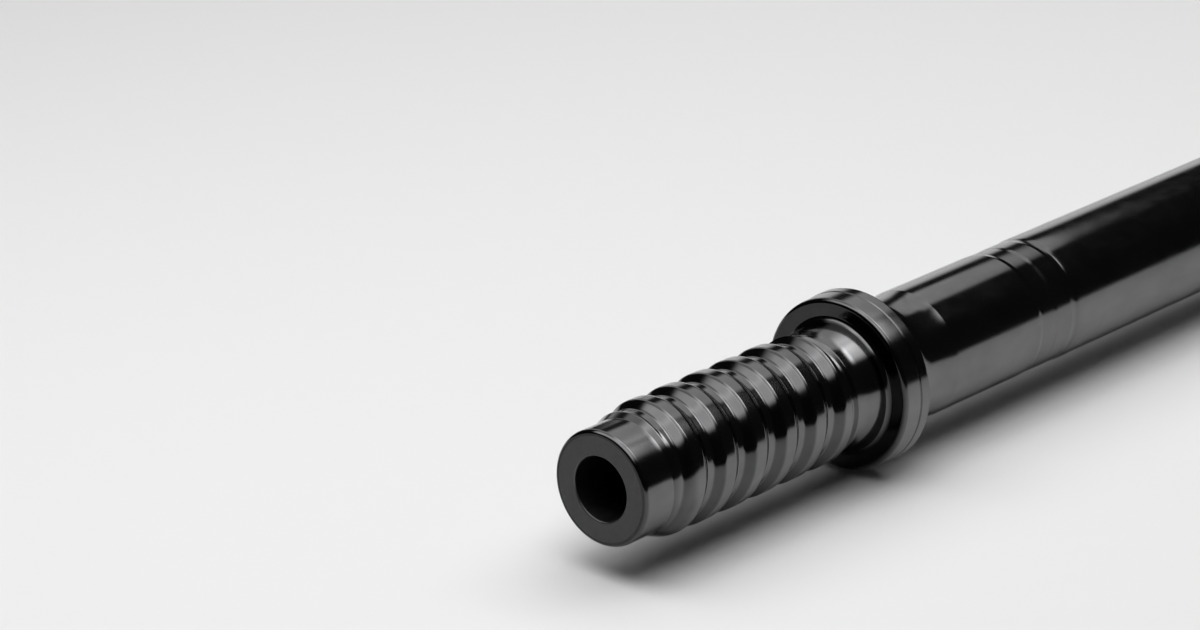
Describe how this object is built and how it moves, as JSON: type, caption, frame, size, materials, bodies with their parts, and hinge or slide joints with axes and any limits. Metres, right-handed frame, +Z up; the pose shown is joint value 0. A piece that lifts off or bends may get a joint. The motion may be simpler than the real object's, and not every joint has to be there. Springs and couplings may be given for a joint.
{
  "type": "top hammer drill rod",
  "caption": "Round steel drill rod with a flushing hole: a rope-threaded male end with a seating shoulder, and at the other end a thick sleeve with the matching threaded socket.",
  "frame": {"origin": "centre of the socket's end face, on the rod axis, where the rod before it is seated", "axes": "+X along the rod axis from the socket to the threaded male end, +Z up, with a ridge of the male thread 1.7 mm in front of the shoulder's seating face on the +Z side"},
  "size_m": [1.3766, 0.0832, 0.0834],
  "materials": {
    "blackened_steel": "oil-blackened, glossy where it is turned"
  },
  "bodies": {
    "root": {"drill_rod": "blackened_steel"}
  },
  "joints": []
}
